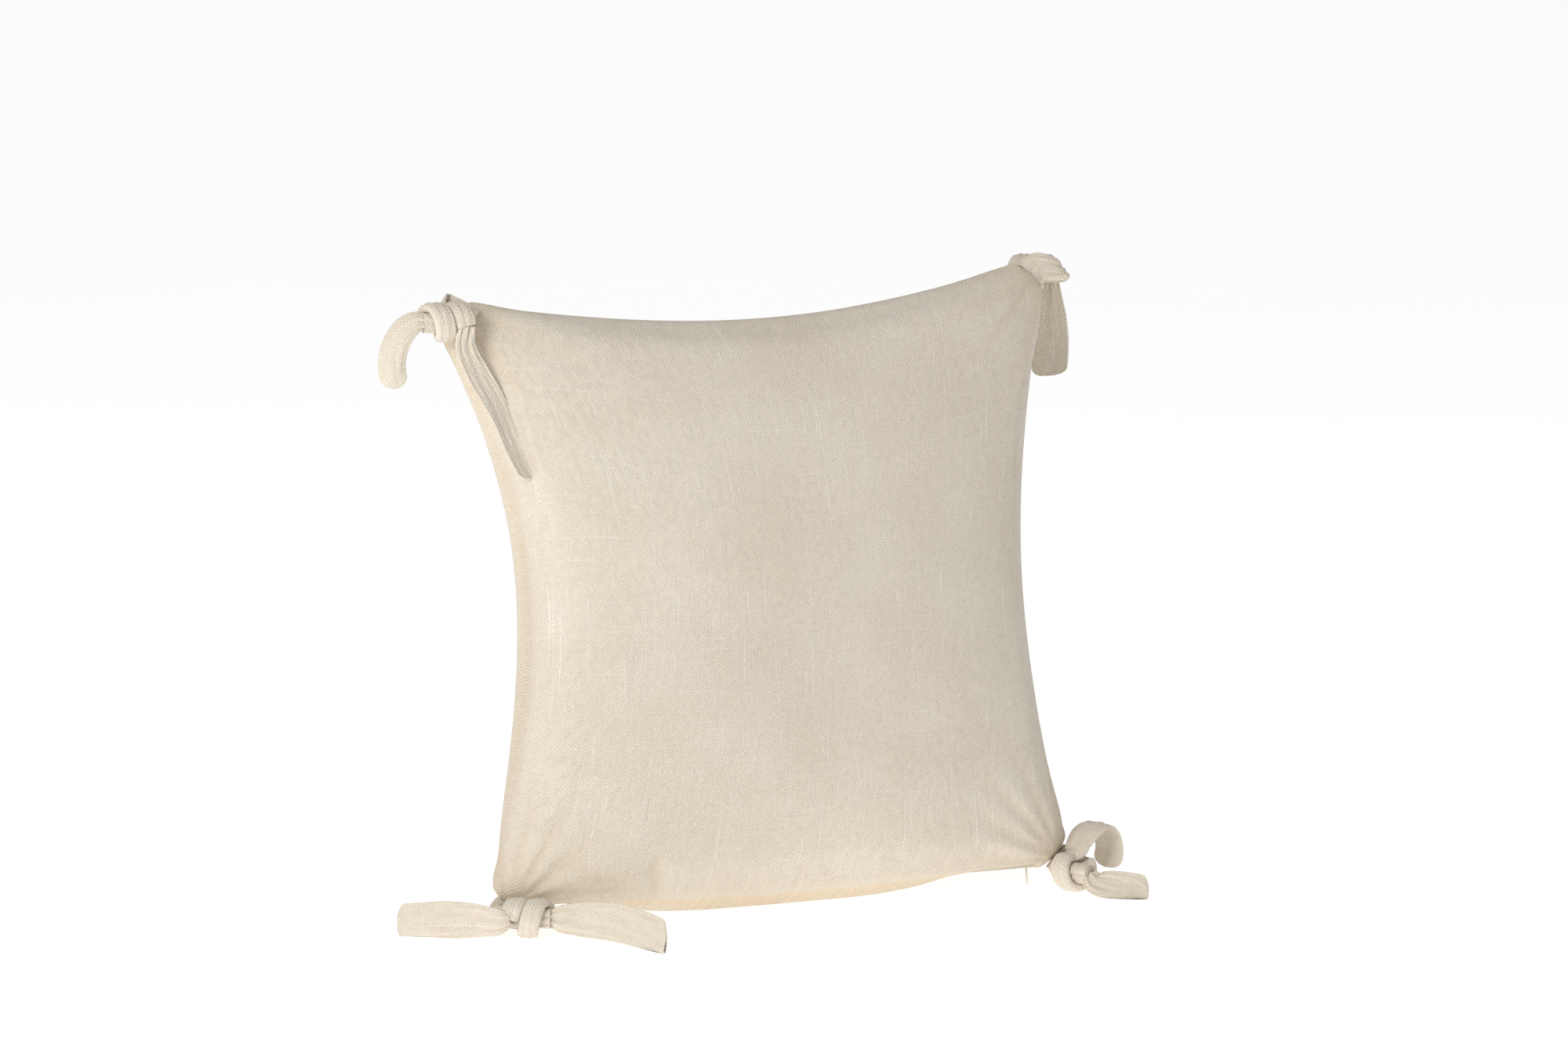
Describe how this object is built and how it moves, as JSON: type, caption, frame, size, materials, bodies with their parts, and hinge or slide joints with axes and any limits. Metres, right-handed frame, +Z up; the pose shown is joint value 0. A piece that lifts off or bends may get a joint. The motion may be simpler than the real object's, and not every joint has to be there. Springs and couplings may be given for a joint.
{
  "type": "floor cushion",
  "caption": "Square floor cushion in a cream cotton cover with a concealed bottom zip, a fibre-filled insert and knotted cloth ties at every corner.",
  "frame": {"origin": "middle of the bottom of the whole object, on the floor", "axes": "+Z up; -Y is the front, the face that shows; +X is to the right as seen from the front; the cushion stands on its zipped edge and leans back towards +Y"},
  "size_m": [0.764, 0.3194, 0.6241],
  "materials": {
    "cover_cotton": "slubby cream cotton, broken twill weave, matt",
    "tie_cotton": "the cover cotton, doubled and stitched at its edges",
    "casing_cloth": "thin non-woven white cloth",
    "fibre_filling": "soft white polyester fibre",
    "zip_tape": "fine woven cream tape",
    "zip_nylon": "cream nylon coil",
    "zip_lacquer": "cream lacquered zinc"
  },
  "bodies": {
    "cushion": {"cover_front_panel": "cover_cotton", "cover_back_panel": "cover_cotton", "insert_casing_front": "casing_cloth", "insert_casing_back": "casing_cloth", "insert_filling": "fibre_filling", "zip_tape_front": "zip_tape", "zip_tape_back": "zip_tape", "zip_coil_front": "zip_nylon", "zip_coil_back": "zip_nylon", "zip_top_stop": "zip_lacquer", "zip_bottom_stop": "zip_lacquer", "tie_top_left_back_knot": "tie_cotton", "tie_top_left_front_knot": "tie_cotton", "tie_top_right_rear_knot": "tie_cotton", "tie_top_right_outer_knot": "tie_cotton", "tie_bottom_left_right_knot": "tie_cotton", "tie_bottom_left_left_knot": "tie_cotton", "tie_bottom_right_front_knot": "tie_cotton", "tie_bottom_right_upper_knot": "tie_cotton"},
    "tie_top_left_back_tail": {"tie_top_left_back_tail": "tie_cotton"},
    "tie_top_left_front_tail": {"tie_top_left_front_tail": "tie_cotton"},
    "tie_top_right_rear_tail": {"tie_top_right_rear_tail": "tie_cotton"},
    "tie_top_right_outer_tail": {"tie_top_right_outer_tail": "tie_cotton"},
    "tie_bottom_left_right_tail": {"tie_bottom_left_right_tail": "tie_cotton"},
    "tie_bottom_left_left_tail": {"tie_bottom_left_left_tail": "tie_cotton"},
    "tie_bottom_right_front_tail": {"tie_bottom_right_front_tail": "tie_cotton"},
    "tie_bottom_right_upper_tail": {"tie_bottom_right_upper_tail": "tie_cotton"},
    "zip_slider": {"zip_slider": "zip_lacquer"},
    "zip_pull": {"zip_pull": "zip_lacquer"}
  },
  "joints": [
    {"name": "top_left_back_swing", "type": "hinge", "parent": "cushion", "child": "tie_top_left_back_tail", "pos_m": [-0.33562, 0.05819, 0.58504], "axis": [0.2873, 0.9578, 0], "range_deg": [0, 75]},
    {"name": "top_left_front_swing", "type": "hinge", "parent": "cushion", "child": "tie_top_left_front_tail", "pos_m": [-0.29702, 0.044, 0.5816], "axis": [-1, 0, 0], "range_deg": [0, 75]},
    {"name": "top_right_rear_swing", "type": "hinge", "parent": "cushion", "child": "tie_top_right_rear_tail", "pos_m": [0.32346, 0.13382, 0.60315], "axis": [0.5291, 0.8486, 0], "range_deg": [0, 60]},
    {"name": "top_right_outer_swing", "type": "hinge", "parent": "cushion", "child": "tie_top_right_outer_tail", "pos_m": [0.3638, 0.12556, 0.60034], "axis": [0.8486, -0.5291, 0], "range_deg": [0, 60]},
    {"name": "bottom_left_right_swing", "type": "hinge", "parent": "cushion", "child": "tie_bottom_left_right_tail", "pos_m": [-0.24811, -0.04306, 0.01965], "axis": [0, 0, -1], "range_deg": [0, 60]},
    {"name": "bottom_left_left_swing", "type": "hinge", "parent": "cushion", "child": "tie_bottom_left_left_tail", "pos_m": [-0.28847, -0.03447, 0.01998], "axis": [0, 0, 1], "range_deg": [0, 60]},
    {"name": "bottom_right_front_swing", "type": "hinge", "parent": "cushion", "child": "tie_bottom_right_front_tail", "pos_m": [0.32392, -0.05077, 0.01936], "axis": [0, 0, 1], "range_deg": [0, 45]},
    {"name": "bottom_right_upper_swing", "type": "hinge", "parent": "cushion", "child": "tie_bottom_right_upper_tail", "pos_m": [0.31541, -0.01971, 0.03314], "axis": [0.4061, -0.9138, 0], "range_deg": [0, 30]},
    {"name": "zip_slide", "type": "slide", "parent": "cushion", "child": "zip_slider", "axis": [-1, 0, 0], "range_m": [0, 0.47]},
    {"name": "zip_pull_swing", "type": "hinge", "parent": "zip_slider", "child": "zip_pull", "pos_m": [0.28014, 0.00283, 0.01562], "axis": [0, 0.9885, -0.1513], "range_deg": [-75, 75]}
  ]
}
